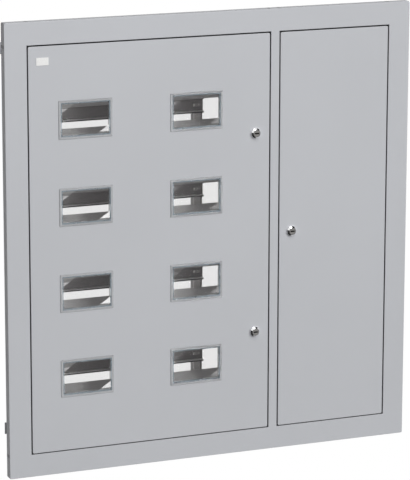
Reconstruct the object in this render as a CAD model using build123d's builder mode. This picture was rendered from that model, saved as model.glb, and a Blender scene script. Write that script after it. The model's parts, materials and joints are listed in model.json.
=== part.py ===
from build123d import *
import os

# Flush-mounted floor distribution cabinet: a folded front frame with two doors, a sheet
# carcass that is open at the back, four rows of mounting rail behind slotted covers, eight
# clear window inserts and three cam locks. Millimetres. The origin is the centre of the
# four wall fixing holes, on the rear plane of the lugs. The front faces -Y and +Z is up.

# Overall size
frame_width = 950.0
frame_height = 1000.0
cabinet_depth = 140.0

# Front frame
frame_sheet = 1.5
border_width = 50.0
mullion_width = 20.0
right_opening_width = 266.5
return_depth = 20.0
rebate_depth = 20.0
stop_width = 12.0
outer_bend = 1.2
opening_bend = 0.8
frame_corner = 1.5

# Carcass
carcass_sheet = 1.2
inner_bend = 1.0
weld_flange = 10.0
rear_flange = 25.0

# Fixing lugs
lug_sheet = 2.0
lug_height = 26.0
lug_reach = 25.8
lug_foot = 20.0
lug_hole_diameter = 7.0
lug_hole_from_end = 11.0
lug_from_wall_end = 13.2

# Doors
door_sheet = 1.2
door_side_gap = 2.8
door_top_gap = 3.1
door_bottom_gap = 2.1
door_depth = 14.0
door_return = 8.0
door_bend = 1.2
door_corner = 3.0

# Hinges
pin_diameter = 5.0
pin_running_clearance = 0.05
pin_from_door_side = 8.0
pin_from_face = 6.0
pin_head_diameter = 8.0
pin_head_height = 2.0
pin_reach_in_door = 6.0
collar_diameter = 9.0
collar_clearance = 0.1

# Windows
row_count = 4
row_end_margin = 57.2
column_pitch = 256.5
window_group_from_opening = 259.0
window_width = 122.5
window_height = 84.0
window_flange = 5.0
window_flange_thickness = 2.0
window_recess = 0.8
window_corner = 1.5
window_bevel = 0.7
window_fit = 0.3
window_rim_depth = 9.0
window_rim_wall = 1.6
hook_width = 12.0
hook_catch = 1.2
hook_length = 4.0
hook_clearance = 0.1
hook_pitch = 70.0

# Locks
lock_from_mullion_left = 36.0
lock_from_mullion_right = 32.0
lock_pair_spacing = 450.0
lock_pair_above_middle = 2.0
second_lock_turn = 7.0
head_diameter = 22.0
head_height = 8.0
head_crown_diameter = 15.6
head_rim = 3.5
barrel_diameter = 18.8
barrel_flat_width = 16.0
barrel_hole_clearance = 0.2
plug_diameter = 13.0
plug_head_diameter = 14.0
plug_head_depth = 3.0
plug_running_clearance = 0.05
plug_set_back = 0.4
keyway_length = 10.5
keyway_width = 2.0
keyway_depth = 12.0
cam_from_rebate = 2.0
cam_thickness = 2.0
cam_reach = 32.0
cam_width = 16.0
cam_square = 7.0
cam_end_clearance = 0.1
cam_screw_head = 9.0
cam_screw_head_height = 2.5
cam_screw_diameter = 4.0
cam_screw_depth = 8.0
lock_nut_across_flats = 23.0
lock_nut_thickness = 4.0
nut_sides = 6

# Rails, posts and covers
rail_from_back = 17.5
device_depth = 45.0
rail_width = 35.0
rail_height = 7.5
rail_channel_width = 27.0
rail_sheet = 1.0
rail_bend = 0.6
rail_length = 386.0
rail_slot_length = 18.0
rail_slot_width = 6.2
rail_slot_from_end = 14.5
slot_drop = 9.5
post_width = 22.0
post_sheet = 1.5
cover_sheet = 1.2
cover_gap = 2.0
cover_fold = 12.0
cover_side_gap = 5.0
cover_slot_length = 422.0
cover_slot_height = 46.5
support_foot = 20.0
left_support_flange = 30.0
right_support_flange = 34.0
support_sheet = 1.2

# Screws
screw_diameter = 4.0
screw_head_diameter = 7.0
screw_head_height = 2.6
screw_length = 8.0
screw_clearance = 0.1
cover_screw_from_side = 16.0
cover_screw_above_slot = 45.0

# Equipment plate of the right compartment
plate_sheet = 1.5
plate_side_gap = 10.0
plate_front_from_back = 20.0
plate_slot_length = 20.0
plate_slot_width = 6.0
plate_slot_columns = 2
plate_slot_rows = 5
plate_slot_pitch_x = 140.0
plate_slot_pitch_z = 180.0

# Earth studs and the blank badge
stud_diameter = 6.0
carcass_stud_length = 18.0
door_stud_length = 12.0
stud_base_diameter = 10.0
stud_base_height = 1.5
stud_nut_across_flats = 10.0
stud_nut_height = 5.0
stud_tip_chamfer = 0.75
carcass_stud_from_wall = 40.0
carcass_stud_from_stop = 30.0
door_stud_from_edge = 45.0
door_stud_from_bottom = 60.0
badge_width = 27.5
badge_height = 16.7
badge_thickness = 0.8
badge_corner = 1.0
badge_from_opening_side = 34.75
badge_from_opening_top = 35.6

# Frame faces and openings
front = -cabinet_depth
stop_rear = front + rebate_depth
opening_top = frame_height / 2 - border_width
left_opening_left = -frame_width / 2 + border_width
right_opening_right = frame_width / 2 - border_width
right_opening_left = right_opening_right - right_opening_width
left_opening_right = right_opening_left - mullion_width
mullion_centre = (left_opening_right + right_opening_left) / 2

# Carcass faces
carcass_half_width = right_opening_right - stop_width
carcass_half_height = opening_top - stop_width
partition_left_face = mullion_centre - carcass_sheet / 2
partition_right_face = mullion_centre + carcass_sheet / 2
lug_z = carcass_half_height + carcass_sheet - lug_from_wall_end

# Doors and their hinges
door_face = front
door_top = opening_top - door_top_gap
door_bottom = -opening_top + door_bottom_gap
door_rear = door_face + door_depth
left_door_left = left_opening_left + door_side_gap
left_door_right = left_opening_right - door_side_gap
right_door_left = right_opening_left + door_side_gap
right_door_right = right_opening_right - door_side_gap
pin_depth = door_face + pin_from_face
left_pin_x = left_door_left + pin_from_door_side
right_pin_x = right_door_right - pin_from_door_side

# Rows behind the windows
row_pitch = 2 * (carcass_half_height - row_end_margin) / row_count
window_group_x = left_opening_left + window_group_from_opening
window_columns = {
    "left": window_group_x - column_pitch / 2,
    "right": window_group_x + column_pitch / 2,
}
row_heights = [row_pitch * ((row_count - 1) / 2 - row) for row in range(row_count)]
rail_rear = -rail_from_back
rail_front = rail_rear - rail_height
cover_face = rail_front - device_depth
cover_rear = cover_face + cover_sheet
rail_left = window_group_x - rail_length / 2
rail_right = window_group_x + rail_length / 2
rail_slot_left = rail_left + rail_slot_from_end
rail_slot_right = rail_right - rail_slot_from_end
cover_left = -carcass_half_width + cover_side_gap
cover_right = partition_left_face - support_sheet - cover_side_gap
cover_height = row_pitch - cover_gap

# Lock centres, with the side of the mullion that each cam reaches
locks = {
    "upper": (left_opening_right - lock_from_mullion_left,
              lock_pair_above_middle + lock_pair_spacing / 2, 0.0),
    "lower": (left_opening_right - lock_from_mullion_left,
              lock_pair_above_middle - lock_pair_spacing / 2, second_lock_turn),
    "right": (right_opening_left + lock_from_mullion_right, 0.0, 0.0),
}
cam_front = stop_rear + cam_from_rebate
cam_rear = cam_front + cam_thickness
plug_face = door_face - head_height + plug_set_back
window_rim_width = window_width - 2 * window_flange
window_rim_height = window_height - 2 * window_flange

os.makedirs("parts", exist_ok=True)


def save(part, name):
    part.label = name
    export_step(part, f"parts/{name}.step")


def facing_plane(depth):
    """Plane parallel to the front, with its local axes along X and Z."""
    return Plane.XZ.offset(-depth)


def rectangle_between(left, right, bottom, top):
    with Locations(((left + right) / 2, (bottom + top) / 2)):
        Rectangle(right - left, top - bottom)


def folded_section(plane, corners, sheet, inner_radius):
    """Section of a folded sheet, drawn from the corners of its middle line."""
    with BuildSketch(plane) as section:
        with BuildLine():
            FilletPolyline(*corners, radius=inner_radius + sheet / 2)
        trace(line_width=sheet)
    return section.sketch


# Front frame: one sheet with outer returns and a rebate round each opening
def front_edges(part, depth, inset):
    """Edges at one depth that stay inside the frame's outline by the inset."""
    limit_x = frame_width / 2 - inset
    limit_z = frame_height / 2 - inset
    level = part.edges().filter_by_position(Axis.Y, depth, depth)
    return [e for e in level if abs(e.center().X) < limit_x and abs(e.center().Z) < limit_z]


with BuildPart() as front_frame:
    with BuildSketch(facing_plane(front)):
        Rectangle(frame_width, frame_height)
    extrude(amount=-return_depth)
    fillet(front_frame.edges().filter_by(Axis.Y), frame_corner + frame_sheet)
    fillet(front_frame.faces().sort_by(Axis.Y)[0].edges(), outer_bend)
    with BuildSketch(facing_plane(front + frame_sheet)):
        RectangleRounded(frame_width - 2 * frame_sheet, frame_height - 2 * frame_sheet, frame_corner)
    extrude(amount=-return_depth, mode=Mode.SUBTRACT)
    for opening_left, opening_right in (
        (left_opening_left, left_opening_right),
        (right_opening_left, right_opening_right),
    ):
        with BuildSketch(facing_plane(front + frame_sheet)):
            rectangle_between(opening_left - frame_sheet, opening_right + frame_sheet,
                              -opening_top - frame_sheet, opening_top + frame_sheet)
        extrude(amount=-(rebate_depth - frame_sheet))
        with BuildSketch(facing_plane(front)):
            rectangle_between(opening_left, opening_right, -opening_top, opening_top)
        extrude(amount=-(rebate_depth - frame_sheet), mode=Mode.SUBTRACT)
        with BuildSketch(facing_plane(front)):
            rectangle_between(opening_left + stop_width, opening_right - stop_width,
                              -opening_top + stop_width, opening_top - stop_width)
        extrude(amount=-rebate_depth, mode=Mode.SUBTRACT)
    fillet(front_edges(front_frame, front, border_width / 2), opening_bend)
    for pin_x in (left_pin_x, right_pin_x):
        with BuildSketch(Plane.XY.offset(-opening_top - frame_sheet)):
            with Locations((pin_x, pin_depth)):
                Circle(pin_diameter / 2)
        extrude(amount=2 * (opening_top + frame_sheet), mode=Mode.SUBTRACT)
save(front_frame.part, "front_frame")


# Carcass: side, top and bottom walls and the partition behind the mullion
def side_wall(side):
    middle = side * (carcass_half_width + carcass_sheet / 2)
    flange_middle = stop_rear + carcass_sheet / 2
    corners = [
        (side * (carcass_half_width + weld_flange), flange_middle),
        (middle, flange_middle),
        (middle, 0.0),
    ]
    base = -carcass_half_height - carcass_sheet
    with BuildPart() as wall:
        extrude(folded_section(Plane.XY.offset(base), corners, carcass_sheet, inner_bend),
                amount=2 * (carcass_half_height + carcass_sheet))
    return wall.part


def end_wall(side):
    middle = side * (carcass_half_height + carcass_sheet / 2)
    flange_middle = stop_rear + carcass_sheet / 2
    corners = [
        (flange_middle, side * (carcass_half_height + weld_flange)),
        (flange_middle, middle),
        (-carcass_sheet / 2, middle),
        (-carcass_sheet / 2, side * (carcass_half_height - rear_flange)),
    ]
    with BuildPart() as wall:
        extrude(folded_section(Plane.YZ.offset(-carcass_half_width), corners, carcass_sheet, inner_bend),
                amount=2 * carcass_half_width)
    return wall.part


def upright(corners, sheet):
    """Folded sheet that runs up the cabinet, clear of the bends of the end walls."""
    half_length = carcass_half_height - inner_bend
    with BuildPart() as piece:
        extrude(folded_section(Plane.XY.offset(-half_length), corners, sheet, inner_bend),
                amount=2 * half_length)
    return piece.part


save(side_wall(-1), "side_wall_left")
save(side_wall(1), "side_wall_right")
save(end_wall(1), "top_wall")
save(end_wall(-1), "bottom_wall")
save(upright([(left_opening_right - stop_width / 2, stop_rear + carcass_sheet / 2),
              (mullion_centre, stop_rear + carcass_sheet / 2),
              (mullion_centre, -carcass_sheet)], carcass_sheet), "partition")


# Fixing lugs: folded tabs welded to the outside of the side walls
def fixing_lug(side, height):
    foot_middle = side * (carcass_half_width + carcass_sheet + lug_sheet / 2)
    tab_end = side * (carcass_half_width + carcass_sheet + lug_reach)
    corners = [
        (foot_middle, -lug_foot - lug_sheet),
        (foot_middle, -lug_sheet / 2),
        (tab_end, -lug_sheet / 2),
    ]
    with BuildPart() as lug:
        extrude(folded_section(Plane.XY.offset(height - lug_height / 2), corners, lug_sheet, inner_bend),
                amount=lug_height)
        with BuildSketch(facing_plane(0.0)):
            with Locations((tab_end - side * lug_hole_from_end, height)):
                Circle(lug_hole_diameter / 2)
        extrude(amount=lug_sheet, mode=Mode.SUBTRACT)
    return lug.part


for side, side_name in ((-1, "left"), (1, "right")):
    for level, level_name in ((1, "upper"), (-1, "lower")):
        save(fixing_lug(side, level * lug_z), f"lug_{side_name}_{level_name}")


# Doors: shallow trays with folded edges and a narrow inward return
def door_tray(left, right):
    width = right - left
    height = door_top - door_bottom
    middle = ((left + right) / 2, (door_top + door_bottom) / 2)
    inner = door_sheet
    lip = door_sheet + door_return
    with BuildPart() as tray:
        with BuildSketch(facing_plane(door_face)):
            with Locations(middle):
                RectangleRounded(width, height, door_corner)
        extrude(amount=-door_depth)
        fillet(tray.faces().sort_by(Axis.Y)[0].edges(), door_bend)
        with BuildSketch(facing_plane(door_face + door_sheet)):
            with Locations(middle):
                RectangleRounded(width - 2 * inner, height - 2 * inner, door_corner - inner)
        extrude(amount=-(door_depth - 2 * door_sheet), mode=Mode.SUBTRACT)
        with BuildSketch(facing_plane(door_rear)):
            with Locations(middle):
                Rectangle(width - 2 * lip, height - 2 * lip)
        extrude(amount=2 * door_sheet, mode=Mode.SUBTRACT)
    return tray.part


def cut_hinge_holes(pin_x):
    """Holes for the two hinge pins in the folded top and bottom edges of a door."""
    with BuildSketch(Plane.XY.offset(door_bottom)) as holes:
        with Locations((pin_x, pin_depth)):
            Circle(pin_diameter / 2 + pin_running_clearance)
    extrude(holes.sketch, amount=door_top - door_bottom, mode=Mode.SUBTRACT)


def lock_profile(centre, clearance):
    """Round barrel section with two flats, upright in the door."""
    with BuildSketch(facing_plane(door_face)) as section:
        with Locations(centre):
            Circle(barrel_diameter / 2 + clearance)
            Rectangle(head_diameter, barrel_flat_width + 2 * clearance, mode=Mode.INTERSECT)
    return section.sketch


with BuildPart() as left_door:
    add(door_tray(left_door_left, left_door_right))
    cut_hinge_holes(left_pin_x)
    with BuildSketch(facing_plane(door_face)):
        with Locations(*[(x, z) for x in window_columns.values() for z in row_heights]):
            Rectangle(window_rim_width + 2 * window_fit, window_rim_height + 2 * window_fit)
    extrude(amount=-door_sheet, mode=Mode.SUBTRACT)
    for lock_name in ("upper", "lower"):
        extrude(lock_profile(locks[lock_name][:2], barrel_hole_clearance), amount=-door_sheet,
                mode=Mode.SUBTRACT)
save(left_door.part, "left_door")

with BuildPart() as right_door:
    add(door_tray(right_door_left, right_door_right))
    cut_hinge_holes(right_pin_x)
    extrude(lock_profile(locks["right"][:2], barrel_hole_clearance), amount=-door_sheet,
            mode=Mode.SUBTRACT)
save(right_door.part, "right_door")


# Hinge pins: headed pins fixed in the frame, the lower ones with a collar under the door
def hinge_pin(pin_x, level):
    lip_outside = opening_top + frame_sheet
    door_end = door_top if level > 0 else -door_bottom
    tip = door_end - door_sheet - pin_reach_in_door
    with BuildPart() as pin:
        with BuildSketch(Plane.XY.offset(level * tip)):
            with Locations((pin_x, pin_depth)):
                Circle(pin_diameter / 2)
        extrude(amount=level * (lip_outside - tip))
        with BuildSketch(Plane.XY.offset(level * lip_outside)):
            with Locations((pin_x, pin_depth)):
                Circle(pin_head_diameter / 2)
        extrude(amount=level * pin_head_height)
        if level < 0:
            with BuildSketch(Plane.XY.offset(-opening_top)):
                with Locations((pin_x, pin_depth)):
                    Circle(collar_diameter / 2)
            extrude(amount=door_bottom_gap - collar_clearance)
    return pin.part


for pin_x, door_name in ((left_pin_x, "left"), (right_pin_x, "right")):
    save(hinge_pin(pin_x, 1), f"hinge_pin_{door_name}_upper")
    save(hinge_pin(pin_x, -1), f"hinge_pin_{door_name}_lower")


# Window inserts: a bevelled clear flange with a sunken pane and a rim with snap hooks
def window_insert(centre_x, centre_z):
    centre = (centre_x, centre_z)
    hook_front = door_face + door_sheet + hook_clearance
    with BuildPart() as insert:
        with BuildSketch(facing_plane(door_face)):
            with Locations(centre):
                RectangleRounded(window_width, window_height, window_corner)
        extrude(amount=window_flange_thickness)
        chamfer(insert.faces().sort_by(Axis.Y)[0].edges(), window_bevel)
        with BuildSketch(facing_plane(door_face - window_flange_thickness)):
            with Locations(centre):
                Rectangle(window_rim_width, window_rim_height)
        extrude(amount=-window_recess, mode=Mode.SUBTRACT)
        with BuildSketch(facing_plane(door_face)):
            with Locations(centre):
                Rectangle(window_rim_width, window_rim_height)
                Rectangle(window_rim_width - 2 * window_rim_wall,
                          window_rim_height - 2 * window_rim_wall, mode=Mode.SUBTRACT)
        extrude(amount=-window_rim_depth)
        for level in (1, -1):
            edge = centre_z + level * window_rim_height / 2
            with BuildSketch(Plane.YZ.offset(centre_x - (hook_pitch + hook_width) / 2)) as hook:
                with BuildLine():
                    Polyline(
                        (hook_front, edge),
                        (hook_front, edge + level * hook_catch),
                        (hook_front + hook_length, edge),
                        close=True,
                    )
                make_face()
            extrude(hook.sketch, amount=hook_width)
            extrude(hook.sketch.moved(Location((hook_pitch, 0, 0))), amount=hook_width)
    return insert.part


for column_name, column_x in window_columns.items():
    for row, row_z in enumerate(row_heights, start=1):
        save(window_insert(column_x, row_z), f"window_{column_name}_{row}")


# Cam locks: chrome housing, turning plug with its keyway, cam, retaining nut and cam screw
def lock_housing(centre_x, centre_z):
    crown_radius = head_crown_diameter / 2
    head_radius = head_diameter / 2
    with BuildPart() as housing:
        with BuildSketch(Plane((centre_x, door_face, centre_z))):
            with BuildLine():
                Polyline((0, 0), (head_radius, 0), (head_radius, -head_rim), (crown_radius, -head_height),
                         (0, -head_height), close=True)
            make_face()
        revolve(axis=Axis((centre_x, door_face, centre_z), (0, 1, 0)))
        extrude(lock_profile((centre_x, centre_z), 0.0),
                amount=-(cam_front - door_face - cam_end_clearance))
        with BuildSketch(facing_plane(cam_front)):
            with Locations((centre_x, centre_z)):
                Circle(plug_diameter / 2 + plug_running_clearance)
        extrude(amount=cam_front - door_face + head_height, mode=Mode.SUBTRACT)
        with BuildSketch(facing_plane(plug_face + plug_head_depth + plug_running_clearance)):
            with Locations((centre_x, centre_z)):
                Circle(plug_head_diameter / 2 + plug_running_clearance)
        extrude(amount=head_height, mode=Mode.SUBTRACT)
    return housing.part


def lock_plug(centre_x, centre_z, turn):
    centre = (centre_x, centre_z)
    with BuildPart() as plug:
        with BuildSketch(facing_plane(cam_front)):
            with Locations(centre):
                Circle(plug_diameter / 2)
        extrude(amount=cam_front - plug_face)
        with BuildSketch(facing_plane(plug_face)):
            with Locations(centre):
                Circle(plug_head_diameter / 2)
        extrude(amount=-plug_head_depth)
        with BuildSketch(facing_plane(cam_front)):
            with Locations(Location((centre_x, centre_z, 0), (0, 0, turn))):
                Rectangle(cam_square, cam_square)
        extrude(amount=-cam_thickness)
        with BuildSketch(facing_plane(plug_face)):
            with Locations(Location((centre_x, centre_z, 0), (0, 0, turn))):
                Rectangle(keyway_length, keyway_width)
        extrude(amount=-keyway_depth, mode=Mode.SUBTRACT)
        with BuildSketch(facing_plane(cam_rear)):
            with Locations(centre):
                Circle(cam_screw_diameter / 2)
        extrude(amount=cam_screw_depth, mode=Mode.SUBTRACT)
    return plug.part


def lock_cam(centre_x, centre_z, turn):
    """Cam plate that hangs down while the lock is open."""
    reach_to_end_centre = cam_reach - cam_width / 2
    with BuildPart() as cam:
        with BuildSketch(facing_plane(cam_front)):
            with Locations(Location((centre_x, centre_z, 0), (0, 0, turn))):
                Circle(cam_width / 2)
                with Locations((0, -reach_to_end_centre / 2)):
                    Rectangle(cam_width, reach_to_end_centre)
                with Locations((0, -reach_to_end_centre)):
                    Circle(cam_width / 2)
                Rectangle(cam_square, cam_square, mode=Mode.SUBTRACT)
        extrude(amount=-cam_thickness)
    return cam.part


def lock_cam_screw(centre_x, centre_z):
    centre = (centre_x, centre_z)
    with BuildPart() as screw:
        with BuildSketch(facing_plane(cam_rear)):
            with Locations(centre):
                Circle(cam_screw_head / 2)
        extrude(amount=-cam_screw_head_height)
        with BuildSketch(facing_plane(cam_rear)):
            with Locations(centre):
                Circle(cam_screw_diameter / 2)
        extrude(amount=cam_screw_depth)
    return screw.part


def lock_nut(centre_x, centre_z):
    with BuildPart() as nut:
        with BuildSketch(facing_plane(door_face + door_sheet)):
            with Locations((centre_x, centre_z)):
                RegularPolygon(lock_nut_across_flats / 2, nut_sides, major_radius=False)
                Circle(barrel_diameter / 2, mode=Mode.SUBTRACT)
        extrude(amount=-lock_nut_thickness)
    return nut.part


for lock_name, (lock_x, lock_z, lock_turn) in locks.items():
    save(lock_housing(lock_x, lock_z), f"lock_{lock_name}_housing")
    save(lock_plug(lock_x, lock_z, lock_turn), f"lock_{lock_name}_plug")
    save(lock_cam(lock_x, lock_z, lock_turn), f"lock_{lock_name}_cam")
    save(lock_cam_screw(lock_x, lock_z), f"lock_{lock_name}_cam_screw")
    save(lock_nut(lock_x, lock_z), f"lock_{lock_name}_nut")


# Posts and mounting rails
def rail_post(left):
    right = left + post_width
    half = post_sheet / 2
    with BuildPart() as post:
        add(upright([(left + half, -carcass_sheet), (left + half, rail_rear + half),
                     (right - half, rail_rear + half), (right - half, -carcass_sheet)], post_sheet))
        with BuildSketch(facing_plane(rail_rear)):
            slot_x = rail_slot_left if left < window_group_x else rail_slot_right
            with Locations(*[(slot_x, z - slot_drop) for z in row_heights]):
                Circle(screw_diameter / 2 + screw_clearance)
        extrude(amount=-post_sheet, mode=Mode.SUBTRACT)
    return post.part


def mounting_rail(centre_z):
    half = rail_sheet / 2
    lip = rail_front + half
    web = rail_rear - half
    channel = rail_channel_width / 2 - half
    corners = [
        (lip, centre_z + rail_width / 2),
        (lip, centre_z + channel),
        (web, centre_z + channel),
        (web, centre_z - channel),
        (lip, centre_z - channel),
        (lip, centre_z - rail_width / 2),
    ]
    with BuildPart() as rail:
        extrude(folded_section(Plane.YZ.offset(rail_left), corners, rail_sheet, rail_bend),
                amount=rail_length)
        with BuildSketch(facing_plane(rail_rear)):
            with Locations((rail_slot_left, centre_z), (rail_slot_right, centre_z)):
                SlotOverall(rail_slot_length, rail_slot_width)
        extrude(amount=rail_height, mode=Mode.SUBTRACT)
    return rail.part


save(rail_post(rail_left), "rail_post_left")
save(rail_post(rail_right - post_width), "rail_post_right")
for row, row_z in enumerate(row_heights, start=1):
    save(mounting_rail(row_z - slot_drop), f"mounting_rail_{row}")


# Slotted covers, screwed to two upright supports
cover_screw_columns = (-carcass_half_width + cover_screw_from_side,
                       partition_left_face - cover_screw_from_side)


def slotted_cover(centre_z):
    half = cover_sheet / 2
    top = centre_z + cover_height / 2
    bottom = centre_z - cover_height / 2
    fold_end = cover_face + cover_fold
    corners = [(fold_end, top - half), (cover_face + half, top - half),
               (cover_face + half, bottom + half), (fold_end, bottom + half)]
    fold_left = -carcass_half_width + left_support_flange + cover_side_gap
    fold_right = partition_left_face - right_support_flange - cover_side_gap
    with BuildPart() as cover:
        extrude(folded_section(Plane.YZ.offset(fold_left), corners, cover_sheet, inner_bend),
                amount=fold_right - fold_left)
        with BuildSketch(facing_plane(cover_face)):
            rectangle_between(cover_left, cover_right, bottom + inner_bend + cover_sheet,
                              top - inner_bend - cover_sheet)
        extrude(amount=-cover_sheet)
        with BuildSketch(facing_plane(cover_face)):
            with Locations((window_group_x, centre_z)):
                Rectangle(cover_slot_length, cover_slot_height)
            with Locations(*[(x, centre_z + cover_screw_above_slot) for x in cover_screw_columns]):
                Circle(screw_diameter / 2 + screw_clearance)
        extrude(amount=-cover_sheet, mode=Mode.SUBTRACT)
    return cover.part


def cover_support(wall_face, inward, flange):
    half = support_sheet / 2
    screw_x = min(cover_screw_columns, key=lambda x: abs(x - wall_face))
    corners = [(wall_face + inward * half, cover_rear + support_foot),
               (wall_face + inward * half, cover_rear + half),
               (wall_face + inward * flange, cover_rear + half)]
    with BuildPart() as support:
        add(upright(corners, support_sheet))
        with BuildSketch(facing_plane(cover_rear)):
            with Locations(*[(screw_x, z - slot_drop + cover_screw_above_slot) for z in row_heights]):
                Circle(screw_diameter / 2 + screw_clearance)
        extrude(amount=-support_sheet, mode=Mode.SUBTRACT)
    return support.part


for row, row_z in enumerate(row_heights, start=1):
    save(slotted_cover(row_z - slot_drop), f"slotted_cover_{row}")
save(cover_support(-carcass_half_width, 1, left_support_flange), "cover_support_left")
save(cover_support(partition_left_face, -1, right_support_flange), "cover_support_right")


# Plain round-headed screws of the rails and the covers
def plain_screws(seat_depth, places):
    with BuildPart() as screws:
        with BuildSketch(facing_plane(seat_depth)):
            with Locations(*places):
                Circle(screw_head_diameter / 2)
        extrude(amount=screw_head_height)
        with BuildSketch(facing_plane(seat_depth)):
            with Locations(*places):
                Circle(screw_diameter / 2)
        extrude(amount=-screw_length)
    return screws.part


rail_screw_places = [(x, z - slot_drop) for x in (rail_slot_left, rail_slot_right) for z in row_heights]
cover_screw_places = [(x, z - slot_drop + cover_screw_above_slot) for x in cover_screw_columns
                      for z in row_heights]
save(plain_screws(rail_rear - rail_sheet, rail_screw_places), "rail_screws")
save(plain_screws(cover_face, cover_screw_places), "cover_screws")


# Equipment plate of the right compartment
plate_left = partition_right_face + plate_side_gap
plate_right = carcass_half_width - plate_side_gap
plate_middle = -plate_front_from_back + plate_sheet / 2
with BuildPart() as equipment_plate:
    add(upright([(plate_left + plate_sheet / 2, -carcass_sheet), (plate_left + plate_sheet / 2, plate_middle),
                 (plate_right - plate_sheet / 2, plate_middle),
                 (plate_right - plate_sheet / 2, -carcass_sheet)], plate_sheet))
    with BuildSketch(facing_plane(-plate_front_from_back)):
        with Locations(((plate_left + plate_right) / 2, 0.0)):
            with GridLocations(plate_slot_pitch_x, plate_slot_pitch_z, plate_slot_columns, plate_slot_rows):
                Rectangle(plate_slot_length, plate_slot_width)
    extrude(amount=-plate_sheet, mode=Mode.SUBTRACT)
save(equipment_plate.part, "equipment_plate")


# Earth studs: welded studs with a flat base and a nut
def earth_stud(base, length):
    with BuildPart() as stud:
        with BuildSketch(base):
            Circle(stud_base_diameter / 2)
        extrude(amount=stud_base_height)
        with BuildSketch(base.offset(stud_base_height)):
            RegularPolygon(stud_nut_across_flats / 2, nut_sides, major_radius=False)
        extrude(amount=stud_nut_height)
        with BuildSketch(base.offset(stud_base_height)):
            Circle(stud_diameter / 2)
        extrude(amount=length)
        chamfer(stud.faces().sort_by(Axis(base.origin, base.z_dir))[-1].edges(), stud_tip_chamfer)
    return stud.part


save(earth_stud(Plane((-carcass_half_width + carcass_stud_from_wall, stop_rear + carcass_stud_from_stop,
                       -carcass_half_height), z_dir=(0, 0, 1)), carcass_stud_length), "earth_stud_carcass")
for stud_x, door_name in ((left_pin_x + door_stud_from_edge, "left"),
                          (right_pin_x - door_stud_from_edge, "right")):
    save(earth_stud(Plane((stud_x, door_face + door_sheet, door_bottom + door_stud_from_bottom),
                          z_dir=(0, 1, 0)), door_stud_length), f"earth_stud_{door_name}_door")


# Blank badge plate on the left door
with BuildPart() as badge_plate:
    with BuildSketch(facing_plane(door_face)):
        with Locations((left_opening_left + badge_from_opening_side, opening_top - badge_from_opening_top)):
            RectangleRounded(badge_width, badge_height, badge_corner)
    extrude(amount=badge_thickness)
save(badge_plate.part, "badge_plate")
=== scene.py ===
import json
import math

import bmesh
import bpy
from mathutils import Euler, Matrix, Vector

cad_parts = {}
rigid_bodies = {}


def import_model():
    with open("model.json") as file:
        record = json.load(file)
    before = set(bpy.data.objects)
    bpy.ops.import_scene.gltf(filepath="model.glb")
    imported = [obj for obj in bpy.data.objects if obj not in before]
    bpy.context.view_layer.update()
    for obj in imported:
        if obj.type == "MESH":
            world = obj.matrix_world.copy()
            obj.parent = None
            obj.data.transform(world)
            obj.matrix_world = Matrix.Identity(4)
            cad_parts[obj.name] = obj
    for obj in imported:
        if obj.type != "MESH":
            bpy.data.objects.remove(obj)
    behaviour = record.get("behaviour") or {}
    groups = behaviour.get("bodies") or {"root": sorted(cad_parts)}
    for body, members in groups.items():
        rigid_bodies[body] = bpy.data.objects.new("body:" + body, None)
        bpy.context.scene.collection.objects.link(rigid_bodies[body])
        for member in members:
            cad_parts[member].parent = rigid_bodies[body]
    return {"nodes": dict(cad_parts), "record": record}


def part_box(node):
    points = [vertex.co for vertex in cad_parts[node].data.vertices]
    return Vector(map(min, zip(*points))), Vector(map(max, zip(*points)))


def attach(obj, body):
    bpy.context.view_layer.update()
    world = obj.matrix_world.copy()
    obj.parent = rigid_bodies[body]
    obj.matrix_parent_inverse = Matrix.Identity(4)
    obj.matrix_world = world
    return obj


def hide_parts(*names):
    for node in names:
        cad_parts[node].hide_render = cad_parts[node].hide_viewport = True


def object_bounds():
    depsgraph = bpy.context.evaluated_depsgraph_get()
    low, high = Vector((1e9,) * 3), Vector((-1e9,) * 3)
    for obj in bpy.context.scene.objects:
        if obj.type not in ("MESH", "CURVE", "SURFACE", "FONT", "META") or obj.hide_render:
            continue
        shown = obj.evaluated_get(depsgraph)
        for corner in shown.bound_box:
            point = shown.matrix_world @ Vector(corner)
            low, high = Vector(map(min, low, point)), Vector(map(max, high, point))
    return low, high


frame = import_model()
cad_low, cad_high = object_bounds()

# Measures are in metres, in the frame of the CAD model, and shares are of an object's own box. A noise is
# given as (scale, detail), a bump as (strength, distance), and a range as (lowest, highest).

# Camera, as the photograph was taken: to the left of the cabinet and above its middle
CAMERA_PLACE = Vector((-2.2608, -5.5750, 1.3208))
CAMERA_YAW = math.radians(-22.431)
CAMERA_PITCH = math.radians(12.696)
CAMERA_ROLL = math.radians(0.108)
CAMERA_FOCAL_PIXELS = 2740.4
CAMERA_REACH = 200.0
PICTURE_HEIGHT_PIXELS = 480
SENSOR_MM = 36.0

# Floor: its depth under the cabinet, its tone, and the distances from the middle at which it fades to white
FLOOR_DROP = 0.50
FLOOR_HALF_SIZE = 40.0
FLOOR_COLOUR = (0.86, 0.86, 0.86, 1.0)
FLOOR_ROUGHNESS = 0.9
FLOOR_WHITE_FROM = 0.5
FLOOR_WHITE_AT = 1.2

# Light: faint ambient light, an even key from the front right, a lamp above the front, and a fill behind the
# doors. A source is the direction that the light comes from, a place is where the lamp stands.
AMBIENT = 0.12
KEY_SOURCE, KEY_ANGLE, KEY_STRENGTH = (0.45, -0.75, 0.48), 0.5, 2.00
TOP_PLACE, TOP_TARGET, TOP_SIDE, TOP_POWER = (0.0, -1.7, 2.3), (0.0, 0.0, 0.0), 1.0, 19.5
FILL_SOURCE, FILL_ANGLE, FILL_STRENGTH = (-0.36, -0.90, 0.22), 0.3, 0.55
# Starts of the names of the pieces that the fill lights
INSIDE_PIECES = ("mounting_rail", "rail_post", "rail_screws", "slotted_cover", "cover_s", "side_wall",
                 "top_wall", "bottom_wall", "partition")

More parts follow.
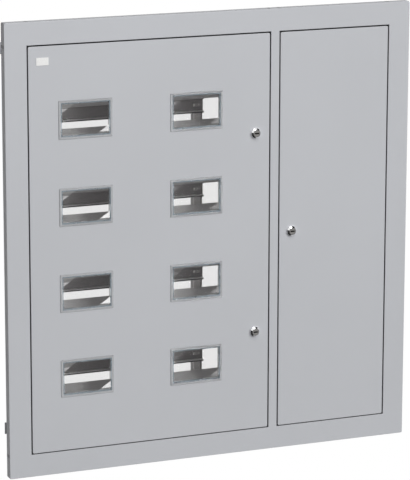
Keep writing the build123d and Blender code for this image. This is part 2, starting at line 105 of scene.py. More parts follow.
# Dark cards round the locks: name, centre, direction that the card faces, width and height
BLACK_FLAGS = (
    ("left_flag", (-1.9, -1.2, -0.30), (1.0, 0.45, 0.0), 2.2, 1.4),
    ("floor_flag", (-0.7, -0.75, -0.98), (0.0, 0.0, 1.0), 2.2, 1.1),
    ("high_flag", (1.60, -0.40, 1.36), (-0.75, 0.12, -0.65), 1.35, 1.35),
)
FLAG_COLOUR = (0.01, 0.01, 0.01, 1.0)

# Range that most of a noise's values lie in, middle of a box or a wall as a share of it, and the bump whose
# heights are in metres
NOISE_RANGE = (0.3, 0.7)
MIDDLE = 0.5
TRUE_HEIGHT = (1.0, 1.0)

# Powder coat: cloudiness, speckle, sheen, orange peel and grain, with how much each changes tone or roughness
COAT_CLOUD, COAT_CLOUD_TONE = (3.5, 3.0), (0.985, 1.015)
COAT_SPECKLE, COAT_SPECKLE_CHANGE = (1400.0, 1.0), 0.035
COAT_SHEEN, COAT_SHEEN_CHANGE = (60.0, 3.0), (-0.04, 0.05)
COAT_PEEL, COAT_PEEL_STRENGTH, COAT_PEEL_DISTANCE = (420.0, 2.0), 0.10, 0.0006
COAT_GRAIN, COAT_GRAIN_STRENGTH, COAT_GRAIN_DISTANCE = (1600.0, 1.0), 0.16, 0.0002
COAT_SPECULAR = 0.3
# Painted shade: a darker coat colour on the folded returns behind the faces
RECESS_FROM = -0.1387
RECESS_SHADE_TONE = 0.80
# Painted shade on the walls of the door gaps: each pair of walls as (axis, middle between them, their
# distance from it), half the width that the shade covers, and its tone
GAP_WALLS = (("X", 0.0, 0.4235), ("X", 0.1485, 0.0115), ("Z", 0.0, 0.4490))
GAP_SHADE_HALF_WIDTH = 0.0036
GAP_SHADE_TONE = 0.5
# Bands across a post's width, as (from, to, tone): painted highlight on the left edge, plain face, painted
# shade on the right bend
POST_HIGHLIGHT_AND_SHADE_BANDS = ((0.005, 0.09, 1.8), (0.09, 0.78, 1.15), (0.78, 0.94, 0.35))

# Zinc plating: rolling lines and spangle, and how many times finer the lines are along each axis
ZINC_LINES, ZINC_LINES_TONE = (60.0, 3.0), (0.9, 1.08)
ZINC_SPANGLE, ZINC_SPANGLE_TONE = (180.0, 2.0), (0.93, 1.05)
ZINC_ROUGHNESS_CHANGE = (-0.08, 0.1)
ZINC_BUMP = (0.15, 0.0002)
ALONG_STRIP = (1.0, 40.0, 40.0)
ALL_WAYS = (1.0, 1.0, 1.0)
# Bands up a rail's height, as (from, to, tone): painted shade at the lower edge, painted highlight on the
# lower lip, painted shade in each of the two steps, painted highlight on the upper edge
RAIL_HIGHLIGHT_AND_SHADE_BANDS = ((-0.1, 0.085, 0.3), (0.085, 0.15, 3.0), (0.15, 0.18, 0.6), (0.86, 0.89, 0.6),
              (0.89, 1.1, 1.4))

# Polished chrome: haze and ripple, how far a head's normals lean forward as on a dome, and its crown darkened
# as a painted dark reflection
CHROME_COLOUR = (0.86, 0.86, 0.87)
CHROME_HAZE, CHROME_TONE, CHROME_ROUGHNESS = (900.0, 2.0), (0.97, 1.03), (0.05, 0.11)
CHROME_RIPPLE, CHROME_BUMP = (300.0, 2.0), (0.03, 0.0003)
HEAD_DOME = 0.35
CROWN_DEPTH, CROWN_PAINTED_REFLECTION_TONE = -0.1473, 0.25
# Thread of the lock barrels, behind the door sheet
BARREL_FROM = -0.1385
BARREL_PITCH = 0.0015

# Satin nickel of the lock plugs
NICKEL_COLOUR = (0.19, 0.185, 0.18)
NICKEL_GRAIN, NICKEL_TONE, NICKEL_ROUGHNESS = (2200.0, 2.0), (0.9, 1.1), (0.36, 0.5)
NICKEL_BUMP = (0.2, 0.0001)
NICKEL_METALLIC = 0.85
# Depths between which a plug is darkened with painted shade, and the painted shade round its keyway: half its
# length and half its height as shares of the plug, how deep it reaches, and the tone of both
KEYWAY_DEPTHS = (-0.1474, -0.1300)
KEYWAY_HALF_LENGTH = 0.34
KEYWAY_HALF_HEIGHT = 0.11
KEYWAY_SHADE_TO = -0.1440
KEYWAY_SHADE_TONE = 0.03

# White plate
PLATE_COLOUR = (0.82, 0.82, 0.81)
PLATE_MOTTLE, PLATE_TONE, PLATE_ROUGHNESS = (700.0, 2.0), (0.985, 1.015), (0.25, 0.32)
PLATE_BUMP = (0.05, 0.0002)

# Clear inserts: their size, the widths of the flange and of the ring inside it, the share of the flange at
# which the ring's colour starts, and the depth behind which the rim begins
INSERT_WIDTH, INSERT_DEPTH, INSERT_HEIGHT = 0.1225, 0.0110, 0.0840
FLANGE_WIDTH = 0.0050
RING_WIDTH = 0.0024
PANE_MARGIN = FLANGE_WIDTH + RING_WIDTH
RING_START = 0.98
RIM_FROM = 0.00205
# How each zone tints what is behind it
FLANGE_COLOUR, FLANGE_ALPHA = (0.70, 0.71, 0.73), 0.45
RING_COLOUR, RING_ALPHA = (0.26, 0.33, 0.38), 0.50
PANE_COLOUR, PANE_ALPHA = (0.11, 0.10, 0.10), 0.13
RIM_COLOUR, RIM_ALPHA = (0.52, 0.56, 0.58), 0.40
PLASTIC_HAZE, PLASTIC_FROST, PLASTIC_ROUGHNESS = (260.0, 2.0), (0.94, 1.06), (0.06, 0.1)
PLASTIC_BUMP = (0.02, 0.0003)
PLASTIC_IOR = 1.49

# Moulded corner facets of a pane: how far from the pane's edge the light part starts, reach and slope of the
# facet's sloping side; then the alpha of the light part and of the rest, and how steeply a facet falls away
LOWER_FACET, LOWER_FACET_ALPHA = (0.0043, 0.0193, 0.66), 0.25
UPPER_FACET, UPPER_FACET_ALPHA = (0.0100, 0.0197, 0.69), 0.13
FACET_EDGE_ALPHA = 0.03
FACET_FALL = 0.30
FACET_ROUGHNESS = 0.30
# Lamps that the facets mirror: column of windows, corner (right and up are positive) and the lamp's strength
GLINT_ANGLE = 0.02
GLINTS = (("window_left", (1, -1), 5.0), ("window_right", (1, -1), 0.7),
          ("window_left", (-1, 1), 1.0), ("window_right", (-1, 1), 1.5))

# Small fasteners: segments round, thread steps in a turn; depth and pitch of a thread and a screw's tip as
# shares of its radius
ROUND_SEGMENTS = 64
THREAD_STEPS = 6
THREAD_DEPTH = 0.2
THREAD_PITCH = 0.35
SCREW_TIP = 0.2
SCREW_SHAFT_RADIUS = 0.0020
SCREW_HEAD_HEIGHT = 0.0026
CAM_SCREW_HEAD_HEIGHT = 0.0025
# Top of a pan head: its drop at the edge and the power of its curve, the rows as shares of its radius, and
# the cross recess: arm, half width and wall as shares of the radius, depth as a share of the height, taper
HEAD_EDGE_DROP, HEAD_CURVE = 0.40, 4
HEAD_ROWS = [0.03 + 0.04 * step for step in range(14)] + [0.62, 0.72, 0.82, 0.90, 0.95, 0.985, 1.0]
RECESS_ARM = 0.52
RECESS_HALF_WIDTH = 0.13
RECESS_WALL = 0.02
RECESS_DEPTH = 0.6
RECESS_TAPER = 0.5
# Earth stud on its flat base, and its nut with chamfers of 30 degrees
STUD_RADIUS = 0.0030
STUD_BASE_RADIUS = 0.0050
STUD_BASE_HEIGHT = 0.0015
STUD_TIP = 0.00075
NUT_HALF_FLATS = 0.0050
NUT_HEIGHT = 0.0050
NUT_CHAMFER_FROM = 0.0047
NUT_CHAMFER_SLOPE = 0.577
# Corners nearer than this are one corner when the solids of a node are told apart
MERGE_DISTANCE = 1e-7


def new_material(name):
    material = bpy.data.materials.new(name)
    material.use_nodes = True
    tree = material.node_tree
    shader = next(n for n in tree.nodes if n.type == "BSDF_PRINCIPLED")
    return material, tree, shader


def node(tree, kind, **inputs):
    made = tree.nodes.new(kind)
    for key, value in inputs.items():
        made.inputs[key].default_value = value
    return made


def noise(tree, vector, scale, detail):
    made = node(tree, "ShaderNodeTexNoise", Scale=scale, Detail=detail)
    tree.links.new(vector, made.inputs["Vector"])
    return made.outputs["Fac"]


def spread(tree, value, low, high, low_out, high_out):
    """The value stretched from one range to another, and held at its ends."""
    made = tree.nodes.new("ShaderNodeMapRange")
    made.inputs["From Min"].default_value = low
    made.inputs["From Max"].default_value = high
    made.inputs["To Min"].default_value = low_out
    made.inputs["To Max"].default_value = high_out
    tree.links.new(value, made.inputs["Value"])
    return made.outputs["Result"]


def varied(tree, value, low, high):
    """A noise stretched to the given range."""
    return spread(tree, value, *NOISE_RANGE, low, high)


def where(tree, mask, factor):
    """The factor where the mask is 1, and 1 where it is 0."""
    return spread(tree, mask, 0.0, 1.0, 1.0, factor)


def maths(tree, operation, first, second=0.0):
    made = tree.nodes.new("ShaderNodeMath")
    made.operation = operation
    for socket, value in zip(made.inputs, (first, second)):
        if isinstance(value, (int, float)):
            socket.default_value = value
        else:
            tree.links.new(value, socket)
    return made.outputs["Value"]


def times(tree, first, second):
    return maths(tree, "MULTIPLY", first, second)


def between(tree, value, low, high):
    """1 where the value lies between low and high, else 0."""
    return times(tree, maths(tree, "GREATER_THAN", value, low), maths(tree, "LESS_THAN", value, high))


def vector_maths(tree, operation, vector, other):
    made = tree.nodes.new("ShaderNodeVectorMath")
    made.operation = operation
    tree.links.new(vector, made.inputs[0])
    made.inputs[1].default_value = other
    return made.outputs["Vector"]


def shade_of(tree, colour, factor):
    """The colour times a factor that varies over the surface."""
    made = tree.nodes.new("ShaderNodeVectorMath")
    made.operation = "SCALE"
    made.inputs[0].default_value = colour
    tree.links.new(factor, made.inputs["Scale"])
    return made.outputs["Vector"]


def blend(tree, mask, first, second):
    """The second number or colour where the mask is 1, else the first, which can be a socket too."""
    made = tree.nodes.new("ShaderNodeMix")
    made.data_type = "FLOAT" if isinstance(second, float) else "RGBA"
    tree.links.new(mask, made.inputs["Factor"])
    for name, value in (("A", first), ("B", second)):
        if isinstance(value, bpy.types.NodeSocket):
            tree.links.new(value, made.inputs[name])
        else:
            made.inputs[name].default_value = value if isinstance(value, float) else (*value, 1.0)
    return made.outputs["Result"]


def bump(tree, height, strength, distance, under=None):
    made = node(tree, "ShaderNodeBump", Strength=strength, Distance=distance)
    tree.links.new(height, made.inputs["Height"])
    if under is not None:
        tree.links.new(under, made.inputs["Normal"])
    return made.outputs["Normal"]


def coordinate(tree, kind):
    """Place on the object in metres (Object) or as shares of its box (Generated), or its normal (Normal)."""
    return tree.nodes.new("ShaderNodeTexCoord").outputs[kind]


def along_axis(tree, vector, axis):
    split = tree.nodes.new("ShaderNodeSeparateXYZ")
    tree.links.new(vector, split.inputs["Vector"])
    return split.outputs[axis]


def banded(tree, tone, bands, axis):
    """The tone times a factor for each band along one axis of the object's own box."""
    place = along_axis(tree, coordinate(tree, "Generated"), axis)
    for low, high, factor in bands:
        tone = times(tree, tone, where(tree, between(tree, place, low, high), factor))
    return tone


def with_painted_recess_shade(tree, tone, place):
    """The tone with painted shade: darker on the folded returns and darker still on the walls of the door
    gaps.
    """
    behind = maths(tree, "GREATER_THAN", along_axis(tree, place, "Y"), RECESS_FROM)
    # Painted shade on the gap walls, darker than on the rest of the returns
    in_gap_shade = 0.0
    for axis, middle, distance in GAP_WALLS:
        away = maths(tree, "ABSOLUTE", maths(tree, "SUBTRACT", along_axis(tree, place, axis), middle))
        in_gap_shade = maths(tree, "MAXIMUM", in_gap_shade,
                       between(tree, away, distance - GAP_SHADE_HALF_WIDTH, distance + GAP_SHADE_HALF_WIDTH))
    tone = times(tree, tone, where(tree, behind, RECESS_SHADE_TONE))
    return times(tree, tone, where(tree, times(tree, behind, in_gap_shade), GAP_SHADE_TONE))


def connect(tree, shader, colour, roughness, normal):
    for name, socket in (("Base Color", colour), ("Roughness", roughness), ("Normal", normal)):
        tree.links.new(socket, shader.inputs[name])


def powder_coat(name, colour, roughness=0.46, grain=1.0, bands=(), painted_recess_shade=False):
    """Fine-textured powder coat: soft orange peel, tiny speckle and faint cloudiness; bands of painted
    highlight and shade, and painted shade in the recesses, where asked.
    """
    material, tree, shader = new_material(name)
    place = coordinate(tree, "Object")
    cloud = varied(tree, noise(tree, place, *COAT_CLOUD), *COAT_CLOUD_TONE)
    change = COAT_SPECKLE_CHANGE * grain
    speckle = varied(tree, noise(tree, place, *COAT_SPECKLE), 1 - change, 1 + change)
    # Bands of painted highlight and shade where asked, as across the rail posts
    tone = banded(tree, times(tree, cloud, speckle), bands, "X")
    # Painted shade on the folded returns and on the walls of the door gaps
    if painted_recess_shade:
        tone = with_painted_recess_shade(tree, tone, place)
    sheen = varied(tree, noise(tree, place, *COAT_SHEEN), *(roughness + step for step in COAT_SHEEN_CHANGE))
    peel = bump(tree, noise(tree, place, *COAT_PEEL), COAT_PEEL_STRENGTH * grain, COAT_PEEL_DISTANCE)
    fine = bump(tree, noise(tree, place, *COAT_GRAIN), COAT_GRAIN_STRENGTH * grain, COAT_GRAIN_DISTANCE, peel)
    connect(tree, shader, shade_of(tree, colour, tone), sheen, fine)
    shader.inputs["Specular IOR Level"].default_value = COAT_SPECULAR
    return material


def brushed_zinc(name, colour, roughness=0.38, along=ALONG_STRIP, bands=()):
    """Zinc plating: fine rolling lines along one direction, faint spangle and bands of painted highlight and
    shade.
    """
    material, tree, shader = new_material(name)
    place = coordinate(tree, "Object")
    lines = noise(tree, vector_maths(tree, "MULTIPLY", place, along), *ZINC_LINES)
    spangle = noise(tree, place, *ZINC_SPANGLE)
    tone = times(tree, varied(tree, lines, *ZINC_LINES_TONE), varied(tree, spangle, *ZINC_SPANGLE_TONE))
    # Bands of painted highlight and shade where asked, as up the rails
    tone = banded(tree, tone, bands, "Z")
    worn = varied(tree, lines, *(roughness + step for step in ZINC_ROUGHNESS_CHANGE))
    connect(tree, shader, shade_of(tree, colour, tone), worn, bump(tree, lines, *ZINC_BUMP))
    shader.inputs["Metallic"].default_value = 1.0
    return material


def polished_chrome(name):
    """Polished chrome of the lock housings: slightly domed head whose crown is darkened as a painted dark
    reflection, threaded barrel.
    """
    material, tree, shader = new_material(name)
    place = coordinate(tree, "Object")
    depth = along_axis(tree, place, "Y")
    haze = noise(tree, place, *CHROME_HAZE)
    # Painted dark reflection: the crown's colour is darkened
    dark_reflection_crown = maths(tree, "LESS_THAN", depth, CROWN_DEPTH)
    tone = times(tree, varied(tree, haze, *CHROME_TONE), where(tree, dark_reflection_crown, CROWN_PAINTED_REFLECTION_TONE))
    domed = vector_maths(tree, "ADD", coordinate(tree, "Normal"), (0.0, -HEAD_DOME, 0.0))
    facing = tree.nodes.new("ShaderNodeVectorTransform")
    facing.vector_type = "NORMAL"
    facing.convert_from, facing.convert_to = "OBJECT", "WORLD"
    tree.links.new(domed, facing.inputs["Vector"])
    ripple = bump(tree, noise(tree, place, *CHROME_RIPPLE), *CHROME_BUMP, facing.outputs["Vector"])
    thread = times(tree, maths(tree, "PINGPONG", depth, BARREL_PITCH / 2),
                   maths(tree, "GREATER_THAN", depth, BARREL_FROM))
    connect(tree, shader, shade_of(tree, CHROME_COLOUR, tone), varied(tree, haze, *CHROME_ROUGHNESS),
            bump(tree, thread, *TRUE_HEIGHT, ripple))
    shader.inputs["Metallic"].default_value = 1.0
    return material


def satin_nickel(name):
    """Fine-grained nickel of the lock plugs, with painted shade in and round the keyway."""
    material, tree, shader = new_material(name)
    place, share = coordinate(tree, "Object"), coordinate(tree, "Generated")
    depth = along_axis(tree, place, "Y")
    grain = noise(tree, place, *NICKEL_GRAIN)
    # Painted shade round the keyway on the plug's face and inside the plug
    shade_round_keyway = maths(tree, "LESS_THAN", depth, KEYWAY_SHADE_TO)
    for axis, half in (("X", KEYWAY_HALF_LENGTH), ("Z", KEYWAY_HALF_HEIGHT)):
        near = between(tree, along_axis(tree, share, axis), MIDDLE - half, MIDDLE + half)
        shade_round_keyway = times(tree, shade_round_keyway, near)
    keyway_shaded = maths(tree, "MAXIMUM", between(tree, depth, *KEYWAY_DEPTHS), shade_round_keyway)
    tone = times(tree, varied(tree, grain, *NICKEL_TONE), where(tree, keyway_shaded, KEYWAY_SHADE_TONE))
    connect(tree, shader, shade_of(tree, NICKEL_COLOUR, tone), varied(tree, grain, *NICKEL_ROUGHNESS),
            bump(tree, grain, *NICKEL_BUMP))
    shader.inputs["Metallic"].default_value = NICKEL_METALLIC
    return material


def white_plate(name):
    """Smooth white plate with a faint mottle."""
    material, tree, shader = new_material(name)
    mottle = noise(tree, coordinate(tree, "Object"), *PLATE_MOTTLE)
    connect(tree, shader, shade_of(tree, PLATE_COLOUR, varied(tree, mottle, *PLATE_TONE)),
            varied(tree, mottle, *PLATE_ROUGHNESS), bump(tree, mottle, *PLATE_BUMP))
    return material


def clear_plastic(name):
    """Clear moulded plastic: hazy pane with corner facets, blue-grey ring, frosted flange and rim."""
    material, tree, shader = new_material(name)
    share = {axis: along_axis(tree, coordinate(tree, "Generated"), axis) for axis in "XYZ"}

    def within(margin):
        """1 farther than the margin from the insert's four edges, else 0."""
        return times(tree, *(between(tree, share[axis], margin / size, 1 - margin / size)
                             for axis, size in (("X", INSERT_WIDTH), ("Z", INSERT_HEIGHT))))

    def from_edges(axis, size):
        """Distances in metres from the pane's two edges across an axis, the lower one first."""
        ends = (-PANE_MARGIN, size - PANE_MARGIN)
        return spread(tree, share[axis], 0.0, 1.0, *ends), spread(tree, share[axis], 0.0, 1.0, *ends[::-1])

    def facet(from_side, from_edge, light_from, reach, slope):
        """Mask of the facet, mask of its light part and how deep it falls away towards the corner."""
        taken = maths(tree, "ADD", times(tree, from_side, slope), from_edge)
        beyond = maths(tree, "SUBTRACT", reach, taken)
        whole = times(tree, pane, maths(tree, "GREATER_THAN", beyond, 0.0))
        light = times(tree, whole, maths(tree, "GREATER_THAN", from_edge, light_from))
        return whole, light, times(tree, times(tree, beyond, whole), -FACET_FALL / math.hypot(1.0, slope))

    haze = noise(tree, coordinate(tree, "Object"), *PLASTIC_HAZE)
    pane = within(PANE_MARGIN)
    ring = within(FLANGE_WIDTH * RING_START)
    rim = maths(tree, "GREATER_THAN", share["Y"], RIM_FROM / INSERT_DEPTH)
    from_left, from_right = from_edges("X", INSERT_WIDTH)
    from_bottom, from_top = from_edges("Z", INSERT_HEIGHT)
    lower, lower_light, lower_fall = facet(from_right, from_bottom, *LOWER_FACET)
    upper, upper_light, upper_fall = facet(from_left, from_top, *UPPER_FACET)
    facets = maths(tree, "MAXIMUM", lower, upper)

    colour, alpha = FLANGE_COLOUR, FLANGE_ALPHA
    for mask, zone_colour, zone_alpha in ((ring, RING_COLOUR, RING_ALPHA), (pane, PANE_COLOUR, PANE_ALPHA),
                                          (rim, RIM_COLOUR, RIM_ALPHA)):
        colour = blend(tree, mask, colour, zone_colour)
        alpha = blend(tree, mask, alpha, zone_alpha)
    for mask, zone_alpha in ((facets, FACET_EDGE_ALPHA), (lower_light, LOWER_FACET_ALPHA),
                             (upper_light, UPPER_FACET_ALPHA)):
        alpha = blend(tree, mask, alpha, zone_alpha)
    tree.links.new(times(tree, alpha, varied(tree, haze, *PLASTIC_FROST)), shader.inputs["Alpha"])

    satin = maths(tree, "MAXIMUM", facets, maths(tree, "SUBTRACT", 1.0, pane))
    falling = bump(tree, maths(tree, "ADD", lower_fall, upper_fall), *TRUE_HEIGHT)
    connect(tree, shader, colour, blend(tree, satin, varied(tree, haze, *PLASTIC_ROUGHNESS), FACET_ROUGHNESS),
            bump(tree, haze, *PLASTIC_BUMP, falling))
    shader.inputs["IOR"].default_value = PLASTIC_IOR
    return material


MATERIALS = {
    # Front frame and doors, with painted shade on their returns and in the door gaps
    "grey_powder_coat": powder_coat("grey_powder_coat", (0.515, 0.525, 0.55), painted_recess_shade=True),
    "grey_carcass_coat": powder_coat("grey_carcass_coat", (0.48, 0.49, 0.51), roughness=0.5),
    "grey_inner_coat": powder_coat("grey_inner_coat", (0.465, 0.46, 0.46), roughness=0.5, grain=1.3),
    "blackened_steel": powder_coat("blackened_steel", (0.04, 0.04, 0.04), roughness=0.4),
    "clear_plastic": clear_plastic("clear_plastic"),
    "white_badge": white_plate("white_badge"),
    "polished_chrome": polished_chrome("polished_chrome"),
    "satin_nickel": satin_nickel("satin_nickel"),
    "zinc_plated_hardware": brushed_zinc("zinc_plated_hardware", (0.62, 0.62, 0.60), roughness=0.34,
                                         along=ALL_WAYS),
    # Rails, with bands of painted highlight and shade up their height
    "zinc_plated_rail": brushed_zinc("zinc_plated_rail", (0.37, 0.36, 0.36), bands=RAIL_HIGHLIGHT_AND_SHADE_BANDS),
    # Rail posts, with bands of painted highlight and shade across their width
    "grey_post_coat": powder_coat("grey_post_coat", (0.50, 0.49, 0.485), roughness=0.5, grain=1.3,
                                  bands=POST_HIGHLIGHT_AND_SHADE_BANDS),
    "dull_zinc_screw": brushed_zinc("dull_zinc_screw", (0.50, 0.49, 0.49), roughness=0.62, along=ALL_WAYS),
}


def dress_cad_nodes():
    """Give each CAD node the detailed material of its record slot; the rail posts have their own."""
    slots = {p["node"]: p["material_slot"] for p in frame["record"]["subparts"]}
    for name, obj in frame["nodes"].items():
        material = MATERIALS["grey_post_coat" if name.startswith("rail_post") else slots[name]]
        for slot in obj.material_slots:
            slot.material = material


def placed(name, data):
    """A new object in the scene."""
    made = bpy.data.objects.new(name, data)
    bpy.context.scene.collection.objects.link(made)
    return made


def rectangle(name, half_width, half_height, level=0.0):
    """Flat rectangle that faces up, with its own material."""
    mesh = bpy.data.meshes.new(name)
    corners = [(x * half_width, y * half_height, level) for x, y in ((-1, -1), (1, -1), (1, 1), (-1, 1))]
    mesh.from_pydata(corners, [], [(0, 1, 2, 3)])
    material, tree, shader = new_material(name)
    mesh.materials.append(material)
    return placed(name, mesh), tree, shader


def islands(obj):
    """Lowest and highest corner of each separate solid of a node."""
    mesh = bmesh.new()
    mesh.from_mesh(obj.data)
    bmesh.ops.remove_doubles(mesh, verts=mesh.verts, dist=MERGE_DISTANCE)
    left = set(mesh.verts)
    boxes = []
    while left:
        waiting = [left.pop()]
        corners = []
        while waiting:
            vertex = waiting.pop()
            corners.append(vertex.co.copy())
            for edge in vertex.link_edges:
                other = edge.other_vert(vertex)
                if other in left:
                    left.remove(other)
                    waiting.append(other)
        boxes.append([Vector(end(c[i] for c in corners) for i in range(3)) for end in (min, max)])
    mesh.free()
    return boxes


def turned(mesh, rows, origin, axis, across):
    """Closed round solid: each row gives a radius and a place along the axis for an angle."""
    other = axis.cross(across)
    angles = [2 * math.pi * step / ROUND_SEGMENTS for step in range(ROUND_SEGMENTS)]
    rings = []
    for row in rows:
        ring = []
        for angle in angles:
            radius, along = row(angle)
            outward = across * math.cos(angle) + other * math.sin(angle)
            ring.append(mesh.verts.new(origin + axis * along + outward * radius))
        rings.append(ring)
    for first, second in zip(rings, rings[1:]):
        for step in range(ROUND_SEGMENTS):
            following = (step + 1) % ROUND_SEGMENTS
            mesh.faces.new((first[step], first[following], second[following], second[step]))
    mesh.faces.new(rings[0][::-1])
    mesh.faces.new(rings[-1])


def plain_row(radius, along):
    return lambda angle: (radius, along)


def recess_row(share, radius, height):
    """One row of a pan head's top, let down where the cross recess is."""
    def past_wall(distance):
        """0 outside the recess and 1 inside it, rising across the wall's width."""
        return min(1.0, max(0.0, MIDDLE + distance / RECESS_WALL))

    def row(angle):
        from_arm = abs((angle + math.pi / 4) % (math.pi / 2) - math.pi / 4)
        inside = past_wall(RECESS_HALF_WIDTH - share * math.sin(from_arm)) * past_wall(RECESS_ARM - share)
        sunk = inside * RECESS_DEPTH * (1.0 - RECESS_TAPER * share / RECESS_ARM)
        return share * radius, height * (HEAD_EDGE_DROP * share ** HEAD_CURVE + sunk)
    return row


def thread_rows(radius, start, end, tip):
    """Rows of a helical thread from start to end, with a chamfered tip."""
    pitch = radius * THREAD_PITCH
    count = round((end - start) / pitch * THREAD_STEPS)

    def thread_row(along):
        def row(angle):
            turn = (along / pitch - angle / (2 * math.pi)) % 1.0
            crest = radius * (1.0 - THREAD_DEPTH * 2 * abs(turn - 0.5))
            return min(crest, radius - tip + max(0.0, end - along)), along
        return row
    return [thread_row(start + (end - start) * step / count) for step in range(count + 1)]


def pan_screw(mesh, top, axis, head_radius, head_height, length):
    """Cross-recessed pan head screw, from the middle of its head's top."""
    rows = [recess_row(share, head_radius, head_height) for share in HEAD_ROWS]
    rows += [plain_row(head_radius, head_height), plain_row(SCREW_SHAFT_RADIUS, head_height)]
    rows += thread_rows(SCREW_SHAFT_RADIUS, head_height, length, SCREW_SHAFT_RADIUS * SCREW_TIP)
    turned(mesh, rows, top, axis, Vector((1.0, 0.0, 0.0)))


def earth_stud(mesh, base, axis, across, length):
    """Threaded stud on its flat base, with a chamfered hexagon nut."""
    def nut_row(end, inward):
        def row(angle):
            corner = NUT_HALF_FLATS / math.cos(angle % (math.pi / 3) - math.pi / 6)
            return corner, end + inward * (corner - NUT_CHAMFER_FROM) * NUT_CHAMFER_SLOPE
        return row

    foot, top = STUD_BASE_HEIGHT, STUD_BASE_HEIGHT + NUT_HEIGHT
    for rows in (
        [plain_row(STUD_BASE_RADIUS, 0.0), plain_row(STUD_BASE_RADIUS, foot)],
        thread_rows(STUD_RADIUS, foot, length, STUD_TIP),
        [plain_row(STUD_RADIUS, foot), plain_row(NUT_CHAMFER_FROM, foot), nut_row(foot, 1.0),
         nut_row(top, -1.0), plain_row(NUT_CHAMFER_FROM, top), plain_row(STUD_RADIUS, top)],
    ):
        turned(mesh, rows, base, axis, across)


def add_detail(name, body, build, material="zinc_plated_hardware"):
    """A detailed piece in place of a CAD node, riding on the same body."""
    mesh = bmesh.new()
    build(mesh)
    bmesh.ops.recalc_face_normals(mesh, faces=mesh.faces)
    data = bpy.data.meshes.new(name + "_detail")
    mesh.to_mesh(data)
    mesh.free()
    data.materials.append(MATERIALS[material])
    piece = placed(name + "_detail", data)
    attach(piece, body)
    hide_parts(name)
    return piece


def add_screws(name, body, towards, head_height, material="zinc_plated_hardware"):
    """Detailed screws in place of a node's plain ones; the shaft points along +Y or -Y."""
    def build(mesh):
        for low, high in islands(frame["nodes"][name]):
            middle = (low + high) / 2
            top = Vector((middle.x, low.y if towards > 0 else high.y, middle.z))
            axis = Vector((0.0, towards, 0.0))
            pan_screw(mesh, top, axis, (high.x - low.x) / 2, head_height, high.y - low.y)
    return add_detail(name, body, build, material)


def add_stud(name, body, axis):
    """Detailed earth stud in place of a plain one; its nut keeps the turn that it has in the CAD."""
    low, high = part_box(name)
    size = high - low
    length = abs(size.dot(axis))
    sides = [side for side in Matrix.Identity(3) if side.dot(axis) == 0]
    across = max(sides, key=lambda side: abs(size.dot(side)))
    base = (low + high) / 2 - axis * length / 2
    add_detail(name, body, lambda mesh: earth_stud(mesh, base, axis, across, length))


def add_fasteners():
    """Add all the detailed fasteners; gives back the ones that the inside fill lights."""
    inside = [add_screws("cover_screws", "cabinet", 1.0, SCREW_HEAD_HEIGHT),
              add_screws("rail_screws", "cabinet", 1.0, SCREW_HEAD_HEIGHT, "dull_zinc_screw")]
    for lock in ("upper", "lower", "right"):
        add_screws(f"lock_{lock}_cam_screw", f"lock_{lock}", -1.0, CAM_SCREW_HEAD_HEIGHT)
    add_stud("earth_stud_carcass", "cabinet", Vector((0.0, 0.0, 1.0)))
    add_stud("earth_stud_left_door", "left_door", Vector((0.0, 1.0, 0.0)))
    add_stud("earth_stud_right_door", "right_door", Vector((0.0, 1.0, 0.0)))
    return inside


def seen(tree):
    """1 for rays from the camera and for mirrored or refracted ones, 0 for those that carry light."""
    rays = tree.nodes.new("ShaderNodeLightPath").outputs
    return maths(tree, "MAXIMUM", rays["Is Camera Ray"],
                 maths(tree, "MAXIMUM", rays["Is Glossy Ray"], rays["Is Transmission Ray"]))


def make_floor():
    """Pale floor that keeps the cabinet's shadow and fades to white far away."""
    floor, tree, shader = rectangle("floor", FLOOR_HALF_SIZE, FLOOR_HALF_SIZE, cad_low.z - FLOOR_DROP)
    shader.inputs["Base Color"].default_value = FLOOR_COLOUR
    shader.inputs["Roughness"].default_value = FLOOR_ROUGHNESS
    place = tree.nodes.new("ShaderNodeNewGeometry").outputs["Position"]
    length = tree.nodes.new("ShaderNodeVectorMath")
    length.operation = "LENGTH"
    tree.links.new(vector_maths(tree, "MULTIPLY", place, (1.0, 1.0, 0.0)), length.inputs[0])
    far = spread(tree, length.outputs["Value"], FLOOR_WHITE_FROM, FLOOR_WHITE_AT, 0.0, 1.0)
    white = node(tree, "ShaderNodeEmission", Strength=1.0)
    mix = tree.nodes.new("ShaderNodeMixShader")
    tree.links.new(times(tree, far, seen(tree)), mix.inputs["Fac"])
    tree.links.new(shader.outputs["BSDF"], mix.inputs[1])
    tree.links.new(white.outputs["Emission"], mix.inputs[2])
    output = next(n for n in tree.nodes if n.type == "OUTPUT_MATERIAL")
    tree.links.new(mix.outputs["Shader"], output.inputs["Surface"])


def make_world():
    """White background that gives only a faint light of its own."""
    world = bpy.data.worlds.new("studio")
    bpy.context.scene.world = world
    world.use_nodes = True
    tree = world.node_tree
    background = next(n for n in tree.nodes if n.type == "BACKGROUND")
    tree.links.new(spread(tree, seen(tree), 0.0, 1.0, AMBIENT, 1.0), background.inputs["Strength"])
    background.inputs["Color"].default_value = (1.0, 1.0, 1.0, 1.0)


def soft_light(name, place, target, side, power):
    """Square lamp at a place, turned towards the target."""
    light = bpy.data.lights.new(name, "AREA")
    light.shape = "RECTANGLE"
    light.size = light.size_y = side
    light.energy = power
    lamp = placed(name, light)
    lamp.location = place
    lamp.rotation_euler = (Vector(target) - Vector(place)).to_track_quat("-Z", "Y").to_euler()


def soft_sun(name, source, angle, strength):
    """Even light from a far source in the given direction."""
    light = bpy.data.lights.new(name, "SUN")
    light.angle = angle
    light.energy = strength
    lamp = placed(name, light)
    lamp.rotation_euler = Vector(source).to_track_quat("Z", "Y").to_euler()
    return lamp


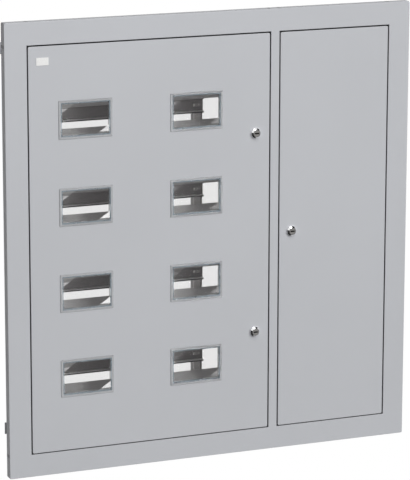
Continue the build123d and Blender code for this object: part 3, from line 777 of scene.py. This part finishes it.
def fill_inside(added):
    """Faint even light on the pieces behind the doors, and on nothing else."""
    lamp = soft_sun("inside_fill", FILL_SOURCE, FILL_ANGLE, FILL_STRENGTH)
    inside = bpy.data.collections.new("inside")
    for obj in [obj for name, obj in frame["nodes"].items() if name.startswith(INSIDE_PIECES)] + added:
        inside.objects.link(obj)
    lamp.light_linking.receiver_collection = inside
    lamp.light_linking.blocker_collection = inside


def glint(prefix, corner, strength):
    """Far lamp that one corner facet of the windows in a column mirrors towards the camera."""
    name = f"{prefix}_{'right' if corner[0] > 0 else 'left'}_glint"
    panes = bpy.data.collections.new(name)
    middle = Vector((0.0, 0.0, 0.0))
    for node_name, obj in frame["nodes"].items():
        if node_name.startswith(prefix):
            panes.objects.link(obj)
            low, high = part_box(node_name)
            middle += (low + high) / 2
    middle /= len(panes.objects)
    *_, slope = LOWER_FACET if corner[0] > 0 else UPPER_FACET
    fall = FACET_FALL / math.hypot(1.0, slope)
    facing = Vector((corner[0] * slope * fall, -1.0, corner[1] * fall)).normalized()
    lamp = soft_sun(name, (middle - CAMERA_PLACE).reflect(facing), GLINT_ANGLE, strength)
    lamp.light_linking.receiver_collection = panes
    blockers = bpy.data.collections.new(name + "_blockers")
    for obj in [*panes.objects, frame["nodes"]["left_door"], frame["nodes"]["front_frame"]]:
        blockers.objects.link(obj)
    lamp.light_linking.blocker_collection = blockers
    lamp.visible_diffuse = False
    lamp.visible_transmission = False


def black_flag(name, centre, facing, width, height):
    """Dark card that only polished metal reflects."""
    flag, tree, shader = rectangle(name, width / 2, height / 2)
    shader.inputs["Base Color"].default_value = FLAG_COLOUR
    shader.inputs["Roughness"].default_value = 1.0
    flag.location = centre
    flag.rotation_euler = Vector(facing).to_track_quat("Z", "Y").to_euler()
    flag.visible_camera = False
    flag.visible_diffuse = False
    flag.visible_shadow = False
    flag.visible_transmission = False


def make_camera():
    data = bpy.data.cameras.new("camera")
    data.sensor_width = SENSOR_MM
    data.lens = CAMERA_FOCAL_PIXELS * SENSOR_MM / PICTURE_HEIGHT_PIXELS
    data.clip_end = CAMERA_REACH
    camera = placed("camera", data)
    turns = ((0.0, 0.0, CAMERA_YAW), (math.pi / 2 - CAMERA_PITCH, 0.0, 0.0), (0.0, 0.0, CAMERA_ROLL))
    yaw, pitch, roll = (Euler(turn).to_matrix() for turn in turns)
    camera.matrix_world = Matrix.Translation(CAMERA_PLACE) @ (yaw @ pitch @ roll).to_4x4()
    bpy.context.scene.camera = camera


dress_cad_nodes()
inside_screws = add_fasteners()
make_floor()
make_world()
soft_sun("key", KEY_SOURCE, KEY_ANGLE, KEY_STRENGTH)
soft_light("top", TOP_PLACE, TOP_TARGET, TOP_SIDE, TOP_POWER)
fill_inside(inside_screws)
for facet_glint in GLINTS:
    glint(*facet_glint)
for flag_values in BLACK_FLAGS:
    black_flag(*flag_values)
make_camera()
bpy.context.scene.view_settings.view_transform = "Standard"
